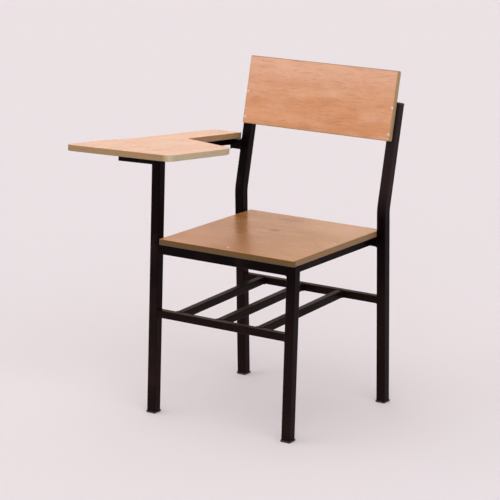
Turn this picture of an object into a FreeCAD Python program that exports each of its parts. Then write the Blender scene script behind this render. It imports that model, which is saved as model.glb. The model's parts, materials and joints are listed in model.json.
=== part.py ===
import FreeCAD, Part
import os

import Sketcher

# Student chair with a fixed writing tablet, in millimetres.
# Origin on the floor under the middle of the whole chair, Z up, the front at -Y.
# Places are measured from the middle of the seat, which lies aside of that origin.
# Left and right are the sitter's, so the tablet on the right is at -X.

os.makedirs("parts", exist_ok=True)
doc = FreeCAD.newDocument("StudentChair")
vec = FreeCAD.Vector
# Points closer than this are the same point
SAME = 1e-4

SIZES = [
    # middle of the seat, seen from the middle of the whole chair
    ("seat_aside", 64.4), ("seat_behind", 56.2),
    # seat
    ("seat_width", 400), ("seat_depth", 400), ("seat_height", 450), ("seat_corner", 3),
    # boards and their edge bands
    ("board_thick", 15), ("band_thick", 2),
    # backrest board, its rise measured up the slope from the bend
    ("back_inset", 7.25), ("back_height", 176), ("back_corner", 3), ("back_rise", 171.2),
    # heavy and slim square tube
    ("tube_side", 25), ("tube_corner", 3), ("tube_wall", 1.5),
    ("slim_side", 19), ("slim_corner", 2), ("slim_wall", 1.2),
    # gaps between the seat board and the tubes beside it
    ("right_gap", 6.5), ("left_gap", 1), ("rail_inset", 5.5),
    # front legs lean back, rear legs lean forward, measured at the floor
    ("front_foot", 203.2), ("front_lean", 2.85),
    ("rear_foot", 195.6), ("rear_lean", 1.23),
    # bend of the rear uprights
    ("bend_height", 505), ("bend_radius", 100), ("back_lean", 13.5), ("upright_rise", 266.2),
    # book rack
    ("rack_front_top", 266.8), ("rack_rear_top", 280.1), ("bar_share", 0.3), ("bar_shift", -30.5),
    # plastic caps
    ("foot_lip", 5), ("foot_side", 28), ("foot_bevel", 1.8),
    ("cap_lip", 4), ("cap_bevel", 1),
    ("plug_plate", 2), ("plug_depth", 14), ("plug_play", 0.2),
    # writing tablet, placed by the rear inner corner of its underside
    ("tablet_gap", 6.5), ("tablet_y", 213), ("tablet_z", 633),
    ("tablet_tilt", 5.26), ("tablet_fall", 1.65),
    ("arm_width", 96), ("arm_skew", 8), ("flare", 22), ("flare_start", 330), ("flare_end", 450),
    ("front_skew", 10), ("tablet_length", 592),
    ("desk_front", 205), ("desk_rear", 210), ("desk_depth", 257), ("nook_back", 236),
    ("heel_round", 3), ("flare_round", 120), ("desk_round", 20), ("tip_round", 60), ("nook_round", 10),
    # steel below the tablet
    ("arm_rail_offset", 34), ("arm_rail_front", 453), ("arm_rail_rear", 14),
    ("cross_bar_back", 385), ("cross_bar_length", 102), ("post_over", 16),
    ("stub_drop", 15), ("stub_overrun", 5), ("stub_reach", 60),
    # screws
    ("screw_head", 9), ("screw_crown", 5), ("screw_rise", 2.4), ("screw_shank", 4.8), ("screw_play", 0.15),
    ("back_screw_low", 16), ("back_screw_pitch", 66),
    ("seat_screw_x", -8), ("seat_screw_y", 4), ("seat_screw_set", 7),
    ("tablet_screw_first", 80), ("tablet_screw_pitch", 260), ("tablet_screw_bite", 10),
]

sheet = doc.addObject("Spreadsheet::Sheet", "Sizes")
for row, (alias, value) in enumerate(SIZES, start=1):
    sheet.set("A%d" % row, alias)
    sheet.set("B%d" % row, str(value))
    sheet.setAlias("B%d" % row, alias)

DERIVED = [
    ("right_x", "=-(seat_width / 2 + right_gap + tube_side / 2)"),
    ("left_x", "=seat_width / 2 + left_gap + tube_side / 2"),
    ("leg_x", "=seat_width / 2 - tube_side / 2"),
    ("ring_top", "=seat_height - board_thick"),
    ("front_slope", "=tan(front_lean * 1deg)"),
    ("rear_slope", "=tan(rear_lean * 1deg)"),
    ("ring_front", "=-front_foot + front_slope * (ring_top - tube_side / 2)"),
    ("ring_rear", "=rear_foot - rear_slope * (ring_top - tube_side / 2)"),
    ("side_rail_x", "=seat_width / 2 - rail_inset - slim_side / 2"),
    ("rack_front", "=-front_foot + front_slope * (rack_front_top - slim_side / 2)"),
    ("rack_rear", "=rear_foot - rear_slope * (rack_rear_top - slim_side / 2)"),
    ("rack_run", "=rack_rear - rack_front - slim_side"),
    ("bar_pitch", "=seat_width * bar_share"),
    ("bend_y", "=rear_foot - rear_slope * bend_height"),
    ("turn", "=back_lean + rear_lean"),
    ("bend_tangent", "=bend_radius * tan(turn / 2 * 1deg)"),
    ("back_width", "=left_x - right_x + tube_side - 2 * back_inset"),
    ("tablet_x", "=right_x - tube_side / 2 - tablet_gap"),
    ("post_top", "=tablet_z + post_over"),
    ("stub_height", "=tablet_z - stub_drop"),
    ("stub_y", "=bend_y + tan(back_lean * 1deg) * (stub_height - bend_height)"),
    ("bore_side", "=tube_side - 2 * tube_wall - 2 * plug_play"),
    ("slim_bore", "=slim_side - 2 * slim_wall - 2 * plug_play"),
    ("upright_mid", "=(right_x + left_x) / 2"),
    ("upright_half", "=(left_x - right_x) / 2"),
]
for row, (alias, formula) in enumerate(DERIVED, start=len(SIZES) + 1):
    sheet.set("A%d" % row, alias)
    sheet.set("B%d" % row, formula)
    sheet.setAlias("B%d" % row, alias)
doc.recompute()


def size(expression):
    """Value of an expression over the sheet, used to draw a sketch near its final shape."""
    return float(sheet.evalExpression(expression))


def own(expression):
    """The same expression as other objects refer to it, with the sheet named before each alias."""
    names = [alias for alias, _ in SIZES] + [alias for alias, _ in DERIVED]
    words = []
    word = ""
    for letter in expression + " ":
        if letter.isalnum() or letter == "_":
            word += letter
            continue
        words.append("Sizes." + word if word in names else word)
        words.append(letter)
        word = ""
    return "".join(words).strip()


def spot(x="0", y="0", z="0", axis=(1, 0, 0), angle="0"):
    """Placement expression: a point, then a turn about an axis."""
    place = "create(<<placement>>; create(<<vector>>; %s; %s; %s); " % (own(x), own(y), own(z))
    turn = "create(<<rotation>>; create(<<vector>>; %d; %d; %d); %s))" % (axis + (own(angle),))
    return place + turn


HOME = spot("seat_aside", "seat_behind")
TABLET = spot("tablet_x", "tablet_y", "tablet_z", (1, 0, 0), "-tablet_tilt")
TABLET_FLAT = TABLET + " * " + spot(axis=(0, 1, 0), angle="-tablet_fall")
BACKREST = spot("upright_mid", "bend_y", "bend_height", (1, 0, 0), "-back_lean")
ALONG_X = spot(axis=(0, 1, 0), angle="90")
ALONG_Y = spot(axis=(1, 0, 0), angle="-90")


def put(item, place):
    """Bind an object's place, measured from the middle of the seat."""
    item.setExpression("Placement", HOME + " * " + place)


def body(label, place):
    """A part-design body at a bound place."""
    made = doc.addObject("PartDesign::Body", label)
    made.Label = label
    put(made, place)
    return made


def sketch_on(owner, role, label):
    """A sketch on one of the body's own origin planes."""
    plane = [item for item in owner.Origin.OriginFeatures if item.Role == role][0]
    made = owner.newObject("Sketcher::SketchObject", label)
    made.AttachmentSupport = [(plane, "")]
    made.MapMode = "FlatFace"
    return made


def dimension(sketch, name, constraint, expression):
    """Add a named dimension bound to the sheet."""
    index = sketch.addConstraint(constraint)
    sketch.renameConstraint(index, name)
    sketch.setExpression("Constraints." + name, own(expression))


def rounded(sketch, name, width, depth, corner):
    """A rectangle with round corners about the sketch origin, every size bound."""
    half_w = size(width) / 2
    half_d = size(depth) / 2
    r = size(corner)
    ends = [
        (vec(r - half_w, -half_d), vec(half_w - r, -half_d)),
        (vec(half_w, r - half_d), vec(half_w, half_d - r)),
        (vec(half_w - r, half_d), vec(r - half_w, half_d)),
        (vec(-half_w, half_d - r), vec(-half_w, r - half_d)),
    ]
    middles = [
        vec(half_w - r, r - half_d), vec(half_w - r, half_d - r),
        vec(r - half_w, half_d - r), vec(r - half_w, r - half_d),
    ]
    quarter = 1.5707963267948966
    lines = [sketch.addGeometry(Part.LineSegment(a, b), False) for a, b in ends]
    arcs = []
    for step, middle in enumerate(middles):
        circle = Part.Circle(middle, vec(0, 0, 1), r)
        arc = Part.ArcOfCircle(circle, (step - 1) * quarter, step * quarter)
        arcs.append(sketch.addGeometry(arc, False))
    for step in range(4):
        sketch.addConstraint(Sketcher.Constraint("Tangent", lines[step], 2, arcs[step], 1))
        following = lines[(step + 1) % 4]
        sketch.addConstraint(Sketcher.Constraint("Tangent", arcs[step], 2, following, 1))
    for step, kind in enumerate(("Horizontal", "Vertical", "Horizontal", "Vertical")):
        sketch.addConstraint(Sketcher.Constraint(kind, lines[step]))
    for step in (1, 2, 3):
        sketch.addConstraint(Sketcher.Constraint("Equal", arcs[0], arcs[step]))
    sketch.addConstraint(Sketcher.Constraint("Symmetric", arcs[0], 3, arcs[2], 3, -1, 1))
    dimension(sketch, name + "_corner", Sketcher.Constraint("Radius", arcs[0], r), corner)
    wide = Sketcher.Constraint("DistanceX", lines[3], 1, lines[1], 1, 2 * half_w)
    dimension(sketch, name + "_width", wide, width)
    deep = Sketcher.Constraint("DistanceY", lines[0], 1, lines[2], 1, 2 * half_d)
    dimension(sketch, name + "_depth", deep, depth)


def square(sketch, name, side):
    """A square about the sketch origin, its side bound."""
    half = size(side) / 2
    ends = [vec(-half, -half), vec(half, -half), vec(half, half), vec(-half, half)]
    lines = [sketch.addGeometry(Part.LineSegment(ends[n], ends[(n + 1) % 4]), False) for n in range(4)]
    for step, kind in enumerate(("Horizontal", "Vertical", "Horizontal", "Vertical")):
        following = lines[(step + 1) % 4]
        sketch.addConstraint(Sketcher.Constraint("Coincident", lines[step], 2, following, 1))
        sketch.addConstraint(Sketcher.Constraint(kind, lines[step]))
    sketch.addConstraint(Sketcher.Constraint("Equal", lines[0], lines[1]))
    sketch.addConstraint(Sketcher.Constraint("Symmetric", lines[0], 1, lines[2], 1, -1, 1))
    wide = Sketcher.Constraint("DistanceX", lines[0], 1, lines[0], 2, 2 * half)
    dimension(sketch, name + "_side", wide, side)


def place_point(sketch, name, geometry, end, x, y):
    """Hold one point of a sketch at bound distances from the sketch origin."""
    for axis, value in (("X", x), ("Y", y)):
        if abs(size(value)) < SAME:
            line = -2 if axis == "X" else -1
            sketch.addConstraint(Sketcher.Constraint("PointOnObject", geometry, end, line))
        elif size(value) > 0:
            apart = Sketcher.Constraint("Distance" + axis, -1, 1, geometry, end, size(value))
            dimension(sketch, name + "_" + axis.lower(), apart, value)
        else:
            apart = Sketcher.Constraint("Distance" + axis, geometry, end, -1, 1, -size(value))
            dimension(sketch, name + "_" + axis.lower(), apart, "-(" + value + ")")


def hole(sketch, name, x, y, radius):
    """A round hole in a sketch, its centre and radius bound."""
    middle = vec(size(x), size(y))
    made = sketch.addGeometry(Part.Circle(middle, vec(0, 0, 1), size(radius)), False)
    dimension(sketch, name + "_radius", Sketcher.Constraint("Radius", made, size(radius)), radius)
    place_point(sketch, name, made, 3, x, y)


def pad(owner, sketch, length, label, side=None, back=False):
    """Extrude a sketch; side gives the sideways run per millimetre along x and y."""
    made = owner.newObject("PartDesign::Pad", label)
    made.Profile = sketch
    made.setExpression("Length", own(length))
    made.Reversed = back
    if side:
        made.UseCustomVector = True
        made.Direction = vec(size(side[0]), size(side[1]), 1)
        made.setExpression("Direction.x", own(side[0]))
        made.setExpression("Direction.y", own(side[1]))
        made.AlongSketchNormal = True
    return made


HEAVY = ("tube_side", "tube_corner", "tube_wall")
SLIM = ("slim_side", "slim_corner", "slim_wall")


def tube_section(owner, kind, label):
    """Square tube section, round outside and square in the bore."""
    outer, corner, wall = kind
    section = sketch_on(owner, "XY_Plane", label)
    rounded(section, "outside", outer, outer, corner)
    square(section, "bore", "%s - 2 * %s" % (outer, wall))
    return section


def tube(label, kind, place, length, side=None):
    """A straight hollow tube along its own Z."""
    owner = body(label, place)
    section = tube_section(owner, kind, label + "_section")
    pad(owner, section, length, label + "_run", side)
    return owner


def upright(label, x):
    """A rear leg that runs on as the backrest upright, bent once."""
    owner = body(label, spot(x, REAR_Y, "foot_lip"))
    section = tube_section(owner, HEAVY, label + "_section")
    path = sketch_on(owner, "YZ_Plane", label + "_path")
    low = "(bend_height - foot_lip) / cos(rear_lean * 1deg) - bend_tangent"
    high = "upright_rise - bend_tangent"
    lean = FreeCAD.Rotation(vec(0, 0, 1), size("rear_lean"))
    rise = FreeCAD.Rotation(vec(0, 0, 1), -size("back_lean"))
    first = lean.multVec(vec(0, size(low)))
    middle = first + lean.multVec(vec(size("bend_radius"), 0))
    second = middle + rise.multVec(vec(-size("bend_radius"), 0))
    last = second + rise.multVec(vec(0, size(high)))
    leg = path.addGeometry(Part.LineSegment(vec(0, 0), first), False)
    circle = Part.Circle(middle, vec(0, 0, 1), size("bend_radius"))
    half_turn = 3.141592653589793
    degree = half_turn / 180
    start = half_turn - size("back_lean") * degree
    bend = path.addGeometry(Part.ArcOfCircle(circle, start, half_turn + size("rear_lean") * degree), False)
    back = path.addGeometry(Part.LineSegment(second, last), False)
    path.addConstraint(Sketcher.Constraint("Coincident", leg, 1, -1, 1))
    path.addConstraint(Sketcher.Constraint("Tangent", leg, 2, bend, 2))
    path.addConstraint(Sketcher.Constraint("Tangent", bend, 1, back, 1))
    dimension(path, "low", Sketcher.Constraint("Distance", leg, size(low)), low)
    dimension(path, "high", Sketcher.Constraint("Distance", back, size(high)), high)
    dimension(path, "bend", Sketcher.Constraint("Radius", bend, size("bend_radius")), "bend_radius")
    low_side = Sketcher.Constraint("DistanceX", leg, 2, leg, 1, -first.x)
    dimension(path, "low_side", low_side, "(%s) * sin(rear_lean * 1deg)" % low)
    high_side = Sketcher.Constraint("DistanceX", back, 1, back, 2, last.x - second.x)
    dimension(path, "high_side", high_side, "(%s) * sin(back_lean * 1deg)" % high)
    run = owner.newObject("PartDesign::AdditivePipe", label + "_run")
    run.Profile = section
    run.Spine = (path, ["Edge1", "Edge2", "Edge3"])
    return owner


def plug(label, place, lip, outside, corner, bore, edge=None, side=None):
    """A plastic cap: a lip below the origin and a plug above it, in the bore of the tube.

    The lip has round corners, or bevelled ones where no corner is given.
    """
    owner = body(label, place)
    face = sketch_on(owner, "XY_Plane", label + "_lip_outline")
    if corner:
        rounded(face, "lip", outside, outside, corner)
    else:
        square(face, "lip", outside)
    cap = pad(owner, face, lip, label + "_lip", back=True)
    if edge:
        edges = []
        floor = -size(lip) + SAME
        for number, item in enumerate(recomputed(cap).Shape.Edges, start=1):
            reach = item.BoundBox.ZMax if corner else item.BoundBox.ZMin
            if reach < floor:
                edges.append("Edge%d" % number)
        bevel = owner.newObject("PartDesign::Chamfer", label + "_bevel")
        bevel.Base = (cap, edges)
        bevel.setExpression("Size", own(edge))
        doc.recompute()
    inner = sketch_on(owner, "XY_Plane", label + "_plug_outline")
    square(inner, "plug", bore)
    pad(owner, inner, "plug_depth", label + "_plug", side)
    return owner


def recomputed(item):
    """The same object after a recompute."""
    doc.recompute()
    return item


def board(label, place, plane, width, depth, corner, holes):
    """A rounded board and the band round its edge."""
    core = body(label + "_board", place)
    outline = sketch_on(core, plane, label + "_outline")
    trim = " - 2 * band_thick"
    rounded(outline, "core", width + trim, depth + trim, corner + " - band_thick")
    for number, (x, y) in enumerate(holes, start=1):
        hole(outline, "hole%d" % number, x, y, "screw_shank / 2 + screw_play")
    pad(core, outline, "board_thick", label + "_core")
    band = body(label + "_edge_band", place)
    ring = sketch_on(band, plane, label + "_ring")
    rounded(ring, "outside", width, depth, corner)
    rounded(ring, "inside", width + trim, depth + trim, corner + " - band_thick")
    pad(band, ring, "board_thick", label + "_band")
    return core, band


def screw(label, place, shank):
    """A screw with a low head above its own origin and the shank below."""
    head = doc.addObject("Part::Cone", label + "_head")
    head.setExpression("Radius1", own("screw_head / 2"))
    head.setExpression("Radius2", own("screw_crown / 2"))
    head.setExpression("Height", own("screw_rise"))
    pin = doc.addObject("Part::Cylinder", label + "_shank")
    pin.setExpression("Radius", own("screw_shank / 2"))
    pin.setExpression("Height", own(shank))
    pin.setExpression("Placement", spot(z="-(" + shank + ")"))
    made = doc.addObject("Part::MultiFuse", label)
    made.Shapes = [head, pin]
    put(made, place)
    return made


def tablet_blank(label):
    """The whole outline of the tablet, corners rounded: a straight arm and a wider desk."""
    owner = body(label, TABLET_FLAT)
    outline = sketch_on(owner, "XY_Plane", label + "_outline")
    arm = [
        ("0", "0", "heel_round"),
        ("-arm_width", "arm_skew", "heel_round"),
        ("-arm_width", "-flare_start", "flare_round"),
    ]
    desk = [
        ("-(arm_width + flare)", "-flare_end", "flare_round"),
        ("-(arm_width + flare)", "front_skew - tablet_length", "desk_round"),
        ("desk_front", "-tablet_length", "desk_round"),
        ("desk_rear", "desk_depth - tablet_length", "tip_round"),
    ]
    corners = arm + desk + [("0", "-nook_back", "nook_round")]
    points = [vec(size(x), size(y)) for x, y, _ in corners]
    count = len(corners)
    lines = []
    for number in range(count):
        segment = Part.LineSegment(points[number], points[(number + 1) % count])
        lines.append(outline.addGeometry(segment, False))
    for number in range(count):
        following = lines[(number + 1) % count]
        outline.addConstraint(Sketcher.Constraint("Coincident", lines[number], 2, following, 1))
    for number, (x, y, _) in enumerate(corners):
        place_point(outline, "corner%d" % number, lines[number], 1, x, y)
    feature = pad(owner, outline, "board_thick", label + "_thickness")
    for number, (x, y, radius) in enumerate(corners):
        shape = recomputed(feature).Shape
        edge = upright_edge(shape, points[number])
        feature = owner.newObject("PartDesign::Fillet", "%s_corner%d" % (label, number))
        feature.Base = (owner.Group[-2], [edge])
        feature.setExpression("Radius", own(radius))
    doc.recompute()
    return owner


def upright_edge(shape, point):
    """Name of the edge that stands over a point of the outline."""
    for number, edge in enumerate(shape.Edges, start=1):
        flat = [vec(end.X, end.Y, 0) for end in edge.Vertexes]
        if all(end.distanceToPoint(vec(point.x, point.y, 0)) < SAME for end in flat):
            return "Edge%d" % number
    raise RuntimeError("no edge over the corner")


def flat_faces(feature):
    """Names of the top and bottom faces of a board."""
    names = []
    for number, face in enumerate(feature.Shape.Faces, start=1):
        if face.BoundBox.ZLength < SAME:
            names.append("Face%d" % number)
    return names


def trimmed(label, base, tools):
    """The base with the room of its neighbours taken away."""
    made = base
    for number, tool in enumerate(tools, start=1):
        last = number == len(tools)
        cut = doc.addObject("Part::Cut", label if last else "%s_trim%d" % (label, number))
        cut.Base = made
        cut.Tool = tool
        made = cut
    made.Label = label
    return made


def group(label, members):
    """Identical small pieces kept as one part."""
    made = doc.addObject("Part::Compound", label)
    made.Links = members
    return made


parts = []

# Legs and uprights
FRONT_Y = "-front_foot + front_slope * foot_lip"
REAR_Y = "rear_foot - rear_slope * foot_lip"
FRONT_RUN = ("0", "front_slope")
post_foot = spot("right_x", FRONT_Y, "foot_lip")
parts.append(tube("tablet_post", HEAVY, post_foot, "post_top - foot_lip", FRONT_RUN))
leg_foot = spot("leg_x", FRONT_Y, "foot_lip")
parts.append(tube("front_left_leg", HEAVY, leg_foot, "ring_top - foot_lip", FRONT_RUN))
parts.append(upright("rear_right_upright", "right_x"))
parts.append(upright("rear_left_upright", "left_x"))

# Seat ring
RING_Z = "ring_top - tube_side / 2"
SIDE_Z = "ring_top - slim_side / 2"
RIGHT_INNER = "right_x + tube_side / 2"
front_span = "leg_x - right_x - tube_side"
rear_span = "left_x - right_x - tube_side"
front_place = spot(RIGHT_INNER, "ring_front", RING_Z) + " * " + ALONG_X
parts.append(tube("seat_front_rail", HEAVY, front_place, front_span))
rear_place = spot(RIGHT_INNER, "ring_rear", RING_Z) + " * " + ALONG_X
parts.append(tube("seat_rear_rail", HEAVY, rear_place, rear_span))
SIDE_START = "ring_front + tube_side / 2"
SIDE_SPAN = "ring_rear - ring_front - tube_side"
right_place = spot("-side_rail_x", SIDE_START, SIDE_Z) + " * " + ALONG_Y
parts.append(tube("seat_right_rail", SLIM, right_place, SIDE_SPAN))
# The left rail meets the leaning leg, so it starts in the leg and is trimmed to its rear face
left_place = spot("side_rail_x", SIDE_START + " - tube_wall", SIDE_Z) + " * " + ALONG_Y
left_blank = tube("seat_left_rail_blank", SLIM, left_place, SIDE_SPAN + " + tube_wall")
leg_room = body("leg_room", leg_foot)
leg_outline = sketch_on(leg_room, "XY_Plane", "leg_room_outline")
rounded(leg_outline, "room", "tube_side", "tube_side", "tube_corner")
pad(leg_room, leg_outline, "ring_top", "leg_room_run", FRONT_RUN)
parts.append(trimmed("seat_left_rail", left_blank, [leg_room]))

# Book rack
RACK_FRONT_Z = "rack_front_top - slim_side / 2"
RACK_REAR_Z = "rack_rear_top - slim_side / 2"
rack_front_place = spot(RIGHT_INNER, "rack_front", RACK_FRONT_Z) + " * " + ALONG_X
parts.append(tube("rack_front_rail", SLIM, rack_front_place, front_span))
rack_rear_place = spot(RIGHT_INNER, "rack_rear", RACK_REAR_Z) + " * " + ALONG_X
parts.append(tube("rack_rear_rail", SLIM, rack_rear_place, rear_span))
BAR_RUN = ("0", "-(rack_rear_top - rack_front_top) / rack_run")
for side, shift in (("right", "-bar_pitch"), ("middle", "0"), ("left", "bar_pitch")):
    place = spot("bar_shift + " + shift, "rack_front + slim_side / 2", RACK_FRONT_Z) + " * " + ALONG_Y
    parts.append(tube("rack_bar_" + side, SLIM, place, "rack_run", BAR_RUN))

# Screws that hold the tablet, up through the arm rail, and the holes drilled for them
drills = []
tablet_screws = []
for number in range(2):
    back = "-(tablet_screw_first + %d * tablet_screw_pitch)" % number
    below = TABLET_FLAT + " * " + spot("-arm_rail_offset", back, "-slim_side", (1, 0, 0), "180")
    grip = "slim_side + tablet_screw_bite"
    tablet_screws.append(screw("tablet_screw%d" % (number + 1), below, grip))
    drill = doc.addObject("Part::Cylinder", "tablet_drill%d" % (number + 1))
    drill.setExpression("Radius", own("screw_shank / 2 + screw_play"))
    drill.setExpression("Height", own(grip + " + screw_play"))
    put(drill, below + " * " + spot(z="-(" + grip + " + screw_play)"))
    drills.append(drill)
drilled = group("tablet_drills", drills)

# Steel below the tablet
rail_start = spot("-arm_rail_offset", "-arm_rail_front", "-slim_side / 2")
rail_place = TABLET_FLAT + " * " + rail_start + " * " + ALONG_Y
rail_span = "arm_rail_front + arm_rail_rear"
rail_blank = tube("arm_rail_blank", SLIM, rail_place, rail_span)
parts.append(trimmed("tablet_arm_rail", rail_blank, [drilled]))

POST_FACE = "right_x - tube_side / 2"
bar_x = POST_FACE + " - tablet_x"
bar_z = "tan(tablet_fall * 1deg) * (%s) - slim_side / cos(tablet_fall * 1deg) - slim_side / 2" % bar_x
OUTWARD = spot(axis=(0, 1, 0), angle="-90")
bar_place = TABLET + " * " + spot(bar_x, "-cross_bar_back", bar_z) + " * " + OUTWARD
BAR_FALL = "-tan(tablet_fall * 1deg)"
parts.append(tube("tablet_cross_bar", SLIM, bar_place, "cross_bar_length", (BAR_FALL, "0")))

# The stub from the upright runs into the side of the arm rail and is trimmed to it
stub_place = spot(POST_FACE, "stub_y", "stub_height") + " * " + OUTWARD
stub_span = bar_x + " + arm_rail_offset - slim_side / 2 + stub_overrun"
stub_blank = tube("stub_blank", HEAVY, stub_place, stub_span)
rail_room = doc.addObject("Part::Box", "arm_rail_room")
rail_room.setExpression("Length", own("slim_side"))
rail_room.setExpression("Width", own("stub_reach * 2"))
rail_room.setExpression("Height", own("stub_reach * 2"))
room_corner = spot("-arm_rail_offset - slim_side / 2", "-stub_reach", "-stub_reach")
put(rail_room, TABLET_FLAT + " * " + room_corner)
parts.append(trimmed("tablet_rear_stub", stub_blank, [rail_room]))

# Boards
SEAT = spot(z="ring_top")
seat_spots = [
    ("seat_screw_x", "ring_front + seat_screw_set"),
    ("seat_screw_x", "ring_rear - seat_screw_set"),
    ("-side_rail_x", "seat_screw_y"),
    ("side_rail_x", "seat_screw_y"),
]
seat = board("seat", SEAT, "XY_Plane", "seat_width", "seat_depth", "seat_corner", seat_spots)
parts.extend(seat)

back_place = BACKREST + " * " + spot("0", "-tube_side / 2", "back_rise + back_height / 2")
low = "back_screw_low - back_height / 2"
back_spots = [(x, z) for x in ("-upright_half", "upright_half") for z in (low, low + " + back_screw_pitch")]
back = board("back", back_place, "XZ_Plane", "back_width", "back_height", "back_corner", back_spots)
parts.extend(back)

tablet_full = tablet_blank("tablet_blank")
tablet_band = tablet_blank("tablet_edge_band")
skin = tablet_band.newObject("PartDesign::Thickness", "tablet_band_ring")
skin.Base = (tablet_band.Group[-2], flat_faces(tablet_band.Group[-2]))
skin.setExpression("Value", own("band_thick"))
skin.Reversed = True
parts.append(trimmed("tablet_board", tablet_full, [tablet_band, drilled]))
parts.append(tablet_band)

# Plastic feet and end caps
for label, x, y, slope in (
    ("foot_cap_front_right", "right_x", FRONT_Y, "front_slope"),
    ("foot_cap_front_left", "leg_x", FRONT_Y, "front_slope"),
    ("foot_cap_rear_right", "right_x", REAR_Y, "-rear_slope"),
    ("foot_cap_rear_left", "left_x", REAR_Y, "-rear_slope"),
):
    foot = ("foot_lip", "foot_side", None, "bore_side")
    parts.append(plug(label, spot(x, y, "foot_lip"), *foot, "foot_bevel", ("0", slope)))

UP_THE_BACK = ("0", "-rear_slope")
for label, x in (("upright_cap_right", "-upright_half"), ("upright_cap_left", "upright_half")):
    place = BACKREST + " * " + spot(x, "0", "upright_rise", (1, 0, 0), "180 - rear_lean")
    cap = ("cap_lip", "tube_side", None, "bore_side")
    parts.append(plug(label, place, *cap, "cap_bevel", UP_THE_BACK))

post_end = spot("right_x", "-front_foot + front_slope * post_top", "post_top", (1, 0, 0), "180")
HEAVY_END = ("plug_plate", "tube_side", "tube_corner", "bore_side")
SLIM_END = ("plug_plate", "slim_side", "slim_corner", "slim_bore")
parts.append(plug("tablet_post_cap", post_end, *HEAVY_END, None, FRONT_RUN))
bar_side = BAR_FALL + " * cross_bar_length"
bar_end = bar_place + " * " + spot(bar_side, "0", "cross_bar_length", (1, 0, 0), "180")
BAR_PLUG = ("tan(tablet_fall * 1deg)", "0")
parts.append(plug("cross_bar_plug", bar_end, *SLIM_END, None, BAR_PLUG))
parts.append(plug("arm_rail_front_plug", rail_place, *SLIM_END))
rail_end = rail_place + " * " + spot(z=rail_span, axis=(1, 0, 0), angle="180")
parts.append(plug("arm_rail_rear_plug", rail_end, *SLIM_END))

# Screws through the seat and the backrest
seat_screws = []
for number, (x, y) in enumerate(seat_spots, start=1):
    seat_screws.append(screw("seat_screw%d" % number, spot(x, y, "seat_height"), "board_thick"))
parts.append(group("seat_screws", seat_screws))
back_screws = []
for number, (x, z) in enumerate(back_spots, start=1):
    rise = "back_rise + back_height / 2 + " + z
    place = BACKREST + " * " + spot(x, "-tube_side / 2 - board_thick", rise, (1, 0, 0), "90")
    back_screws.append(screw("back_screw%d" % number, place, "board_thick"))
parts.append(group("back_screws", back_screws))
parts.append(group("tablet_screws", tablet_screws))

doc.recompute()
for item in doc.Objects:
    if "Invalid" in item.State or "Error" in item.State:
        raise RuntimeError("%s did not build: %s" % (item.Label, item.State))
for item in parts:
    if item.Shape.isNull() or not item.Shape.isValid():
        raise RuntimeError("%s has no valid shape" % item.Label)
    item.Shape.exportStep("parts/%s.step" % item.Label)
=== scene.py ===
"""Looks of a student chair with a writing tablet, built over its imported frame.

The frame gives every tube, board, cap and screw its place. This script dresses them: laminate
boards with raw edges, painted steel tube with weld beads, plastic caps and cross-head screws,
and sets them on a pale floor in soft light. Lengths are in metres. Left and right are the
sitter's, so the tablet on the right lies towards -X, and the front is towards -Y.
"""

from __future__ import annotations

import json
import logging
import math
import random
from collections.abc import Callable, Iterable
from dataclasses import dataclass, field
from enum import Enum

import bmesh
import bpy
from mathutils import Matrix, Vector

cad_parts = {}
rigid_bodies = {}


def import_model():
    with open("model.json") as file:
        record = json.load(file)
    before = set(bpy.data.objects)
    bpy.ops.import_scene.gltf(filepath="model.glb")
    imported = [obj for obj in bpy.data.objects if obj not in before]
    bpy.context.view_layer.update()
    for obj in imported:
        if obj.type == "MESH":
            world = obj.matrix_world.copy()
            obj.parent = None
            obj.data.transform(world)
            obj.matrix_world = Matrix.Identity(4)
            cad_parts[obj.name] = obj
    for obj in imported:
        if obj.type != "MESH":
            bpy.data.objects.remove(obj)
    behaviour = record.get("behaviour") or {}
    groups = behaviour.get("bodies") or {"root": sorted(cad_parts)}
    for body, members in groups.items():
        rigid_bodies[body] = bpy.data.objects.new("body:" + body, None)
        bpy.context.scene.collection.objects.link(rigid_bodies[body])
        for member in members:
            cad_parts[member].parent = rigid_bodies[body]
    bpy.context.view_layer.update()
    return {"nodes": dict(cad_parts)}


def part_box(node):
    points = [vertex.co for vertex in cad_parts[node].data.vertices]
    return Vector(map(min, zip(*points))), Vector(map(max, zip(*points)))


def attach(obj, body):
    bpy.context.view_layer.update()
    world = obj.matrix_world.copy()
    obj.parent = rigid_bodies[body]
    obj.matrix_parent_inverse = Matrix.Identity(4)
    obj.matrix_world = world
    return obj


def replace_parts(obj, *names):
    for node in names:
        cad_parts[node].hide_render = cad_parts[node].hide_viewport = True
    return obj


LOG = logging.getLogger("student_chair")

Socket = bpy.types.NodeSocket
Triple = tuple[float, float, float]
Rgba = tuple[float, float, float, float]
Span = tuple[float, float]

UP = Vector((0.0, 0.0, 1.0))
WHOLE = (0.0, 1.0)
# Points of a mesh that lie closer than this are one point
MERGE = 1e-6
# Attribute of a board's edge: 0 at the board's lower face and 1 at its upper one
RISE = "rise"
# Above this cosine to a board's normal a face is level with the board
LEVEL = 0.9
# Below this one it stands upright on the board
UPRIGHT = 0.5


class Slot(Enum):
    """Names of the record's material slots."""

    FRAME = "frame_paint"
    EDGE = "edge_band"
    SCREW = "screw"


class Axis(Enum):
    """The chair's axes: to the left, to the rear and up."""

    X = 0
    Y = 1
    Z = 2


class Grain(Enum):
    """Which way the grain of a board runs."""

    SIDE_TO_SIDE = "x"
    FRONT_TO_BACK = "y"

    def stretch(self, along: float, across: float) -> Triple:
        """Spread a density along and across the grain over the three axes.

        Args:
            along: Repeats per metre along the grain.
            across: Repeats per metre across it.

        Returns:
            The repeats per metre on X, Y and Z.
        """
        if self is Grain.SIDE_TO_SIDE:
            return along, across, across
        return across, along, across


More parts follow.
